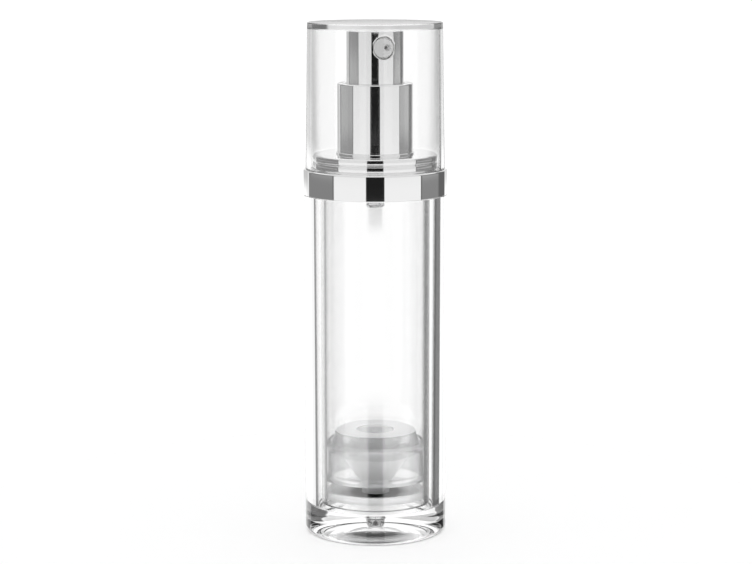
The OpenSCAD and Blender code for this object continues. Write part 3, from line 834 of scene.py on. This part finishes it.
class BOTTLE_OT_studio(bpy.types.Operator):
    """Set up the floor, the soft studio light and the camera."""
    bl_idname = "bottle.studio"
    bl_label = "Studio"

    def execute(self, context):
        studio = context.scene.studio_setup
        self.lay_floor(studio)
        self.light(studio)
        self.stand_camera(studio)
        scene = context.scene
        scene.view_settings.view_transform = "Standard"
        scene.cycles.max_bounces = 32
        scene.cycles.transmission_bounces = 32
        scene.cycles.glossy_bounces = 16
        scene.cycles.diffuse_bounces = 4
        scene.cycles.sample_clamp_indirect = 8
        scene.cycles.blur_glossy = 0
        return {"FINISHED"}

    def lay_floor(self, studio):
        """A plain pale disc under the bottle."""
        rest()
        bpy.ops.mesh.primitive_circle_add(vertices=128, radius=studio.floor, fill_type="NGON")
        floor = bpy.context.object
        floor.name = "floor"
        floor.data.materials.append(surface(
            "pale floor", studio.floor_tint, roughness=0.8, spread=0.05, cloud=0.01, cloud_scale=20.0))
        floor.visible_transmission = False
        floor.visible_glossy = False

    def light(self, studio):
        """Soft white light all round, with cards that the bright metal and the clear walls show.

        A card spans azimuths, which start at the camera's side and are positive to its right, and heights
        over the horizon, all in degrees. A later card lies over the earlier ones.
        """
        world = bpy.data.worlds.new("soft studio")
        bpy.context.scene.world = world
        world.use_nodes = True
        tree = world.node_tree
        tree.nodes.clear()
        way = new_node(tree, "ShaderNodeTexCoord").outputs["Generated"]
        ahead = (math.sin(studio.azimuth), -math.cos(studio.azimuth), 0)
        right = (math.cos(studio.azimuth), math.sin(studio.azimuth), 0)
        front = new_node(tree, "ShaderNodeVectorMath", operation="DOT_PRODUCT", inputs={0: way, 1: ahead})
        side = new_node(tree, "ShaderNodeVectorMath", operation="DOT_PRODUCT", inputs={0: way, 1: right})
        degrees = math.degrees(1)
        turn = sums(tree, "ARCTAN2", side.outputs["Value"], front.outputs["Value"])
        turn = sums(tree, "MULTIPLY", turn, degrees)
        away = sums(tree, "ABSOLUTE", turn)
        rise = new_node(tree, "ShaderNodeSeparateXYZ", inputs={0: way}).outputs[2]
        rise = sums(tree, "MULTIPLY", sums(tree, "ARCSINE", rise), degrees)
        glow = new_node(tree, "ShaderNodeMapRange", label="even light", inputs={
            "Value": rise, "From Min": -6.5, "From Max": -2.5, "To Min": 0.94, "To Max": 0.76}).outputs[0]
        # Cards that meet at the back end past it, so that no edge shows there.
        past_back = 400
        cards = (
            # name, kind of azimuth, from, to, their soft edge, lowest, highest, their soft edge, brightness
            ("back", away, 128, past_back, 6, -90, 90, 1, 1.0),
            ("brighter back", away, 145, past_back, 5, -90, 90, 1, 1.25),
            ("middle of the back", away, 171, past_back, 4, -90, 90, 1, 1.08),
            ("shade along the back", away, 128, past_back, 6, 0.5, 4.2, 0.8, 0.68),
            ("left card", turn, -133, -69.5, 1, -17.5, 30, 1, 0.235),
            ("pale strip, left", turn, -124, -69.5, 1, -5.9, -3.7, 0.4, 0.38),
            ("near edge, left", turn, -72, -69.5, 0.6, -17.5, 30, 1, 0.17),
            ("far card, left", turn, -170, -136, 4, -6.6, 30, 0.4, 0.6),
            ("far card, right", turn, 150, 172, 3, -6.6, 30, 0.4, 0.75),
            ("right card", turn, 78.5, 148, 1.5, -17.5, 30, 1, 0.25),
            ("pale strip, right", turn, 80, 125, 4, -5.9, -3.7, 0.4, 0.45),
            ("darker end, right", turn, 122, 148, 3, -17.5, 30, 1, 0.13),
            ("near edge, right", turn, 78, 80, 0.6, -17.5, 30, 1, 0.1),
            ("black card in front", turn, -14.6, 14.6, 0.5, -7.9, 30, 0.1, 0.013),
            ("lower black card", turn, -14.6, 14.6, 0.5, -17, -12.9, 0.3, 0.013),
        )
        for name, measure, start, stop, soft, low, high, fade, level in cards:
            across = band(tree, measure, start, stop, soft)
            mask = sums(tree, "MULTIPLY", across, band(tree, rise, low, high, fade))
            glow = new_node(tree, "ShaderNodeMix", label=name, inputs={
                0: mask, 2: glow, 3: level}).outputs[0]
        path = new_node(tree, "ShaderNodeLightPath").outputs
        scattered = sums(tree, "GREATER_THAN", path["Diffuse Depth"], 0.5)
        glow = new_node(tree, "ShaderNodeMix", label="fill light", inputs={
            0: scattered, 2: glow, 3: studio.scatter_level}).outputs[0]
        glow = new_node(tree, "ShaderNodeMix", label="backdrop", inputs={
            0: path["Is Camera Ray"], 2: glow, 3: studio.backdrop}).outputs[0]
        lamp = new_node(tree, "ShaderNodeBackground", inputs={"Color": (1, 1, 1, 1), "Strength": glow})
        out = new_node(tree, "ShaderNodeOutputWorld")
        joined(tree, lamp.outputs[0], out.inputs[0])

    def stand_camera(self, studio):
        """The camera, a little above the cap and looking down at the bottle."""
        rest()
        bpy.ops.object.camera_add()
        camera = bpy.context.object
        camera.name = "camera"
        camera.data.sensor_width = 36
        camera.data.lens = studio.lens
        camera.data.clip_start = 0.01
        camera.data.clip_end = 10
        place = Vector((math.sin(studio.azimuth), -math.cos(studio.azimuth), 0)) * studio.distance
        place.z = studio.height
        camera.matrix_world = (
            Matrix.Translation(place)
            @ Matrix.Rotation(studio.azimuth + studio.pan, 4, "Z")
            @ Matrix.Rotation(math.radians(90) - studio.pitch, 4, "X")
            @ Matrix.Rotation(studio.roll, 4, "Z"))
        bpy.context.scene.camera = camera


STEPS = (
    BOTTLE_OT_studio, BOTTLE_OT_outer_bottle, BOTTLE_OT_inner_bottle, BOTTLE_OT_plug, BOTTLE_OT_piston,
    BOTTLE_OT_works, BOTTLE_OT_collar, BOTTLE_OT_sleeve, BOTTLE_OT_button, BOTTLE_OT_nozzle,
    BOTTLE_OT_overcap,
)
GROUPS = {
    "overcap_shape": OvercapShape, "head_shape": HeadShape, "collar_shape": CollarShape,
    "bottle_shape": BottleShape, "piston_shape": PistonShape, "bottle_finish": BottleFinish,
    "studio_setup": StudioSetup,
}


class BOTTLE_PT_sidebar(bpy.types.Panel):
    """Lists the bottle's steps and sizes."""
    bl_label = "Airless pump bottle"
    bl_idname = "BOTTLE_PT_sidebar"
    bl_space_type = "VIEW_3D"
    bl_region_type = "UI"
    bl_category = "Bottle"

    def draw(self, context):
        for step in STEPS:
            self.layout.operator(step.bl_idname)
        for name in GROUPS:
            settings = getattr(context.scene, name)
            box = self.layout.box()
            box.label(text=name.replace("_", " "))
            for key in settings.bl_rna.properties.keys():
                if key not in {"rna_type", "name"}:
                    box.prop(settings, key)


def register():
    for name, group in GROUPS.items():
        bpy.utils.register_class(group)
        setattr(bpy.types.Scene, name, bpy.props.PointerProperty(type=group))
    for step in STEPS:
        bpy.utils.register_class(step)
    bpy.utils.register_class(BOTTLE_PT_sidebar)


def unregister():
    bpy.utils.unregister_class(BOTTLE_PT_sidebar)
    for step in reversed(STEPS):
        bpy.utils.unregister_class(step)
    for name, group in GROUPS.items():
        delattr(bpy.types.Scene, name)
        bpy.utils.unregister_class(group)


def main():
    """Run every step."""
    register()
    bpy.ops.bottle.studio()
    bpy.ops.bottle.outer_bottle()
    bpy.ops.bottle.inner_bottle()
    bpy.ops.bottle.plug()
    bpy.ops.bottle.piston()
    bpy.ops.bottle.works()
    bpy.ops.bottle.collar()
    bpy.ops.bottle.sleeve()
    bpy.ops.bottle.button()
    bpy.ops.bottle.nozzle()
    bpy.ops.bottle.overcap()


if __name__ == "__main__":
    main()
